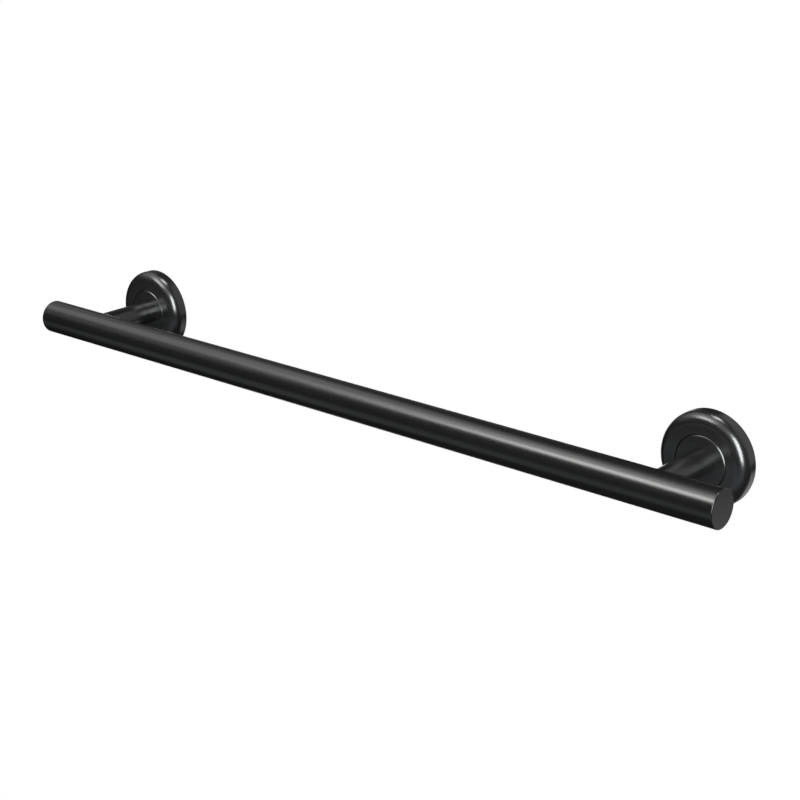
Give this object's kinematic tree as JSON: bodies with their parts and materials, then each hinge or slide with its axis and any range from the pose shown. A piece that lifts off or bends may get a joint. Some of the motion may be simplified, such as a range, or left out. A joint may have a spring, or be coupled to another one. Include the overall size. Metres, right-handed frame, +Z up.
{
  "type": "grab bar",
  "caption": "Straight round grab bar on coped posts, screwed to a wall through hubbed flanges under sliding domed covers, in satin black.",
  "frame": {"origin": "on the wall plane, midway between the two posts, at the height of the bar's axis", "axes": "+X along the bar, +Y into the wall, so the bar's front faces -Y, and +Z up"},
  "size_m": [0.61, 0.0795, 0.0636],
  "materials": {
    "black_bar": "satin black powder coat on steel tube",
    "black_flange": "satin black powder coat on turned steel",
    "black_cover": "satin black powder coat on pressed steel"
  },
  "bodies": {
    "rail": {"bar_tube": "black_bar", "end_cap_left": "black_bar", "end_cap_right": "black_bar", "post_left": "black_bar", "post_right": "black_bar", "wall_flange_left": "black_flange", "wall_flange_right": "black_flange"},
    "left_cover": {"cover_left": "black_cover"},
    "right_cover": {"cover_right": "black_cover"}
  },
  "joints": [
    {"name": "left_cover_slide", "type": "slide", "parent": "rail", "child": "left_cover", "axis": [0, -1, 0], "range_m": [0, 0.041]},
    {"name": "right_cover_slide", "type": "slide", "parent": "rail", "child": "right_cover", "axis": [0, -1, 0], "range_m": [0, 0.041]}
  ]
}
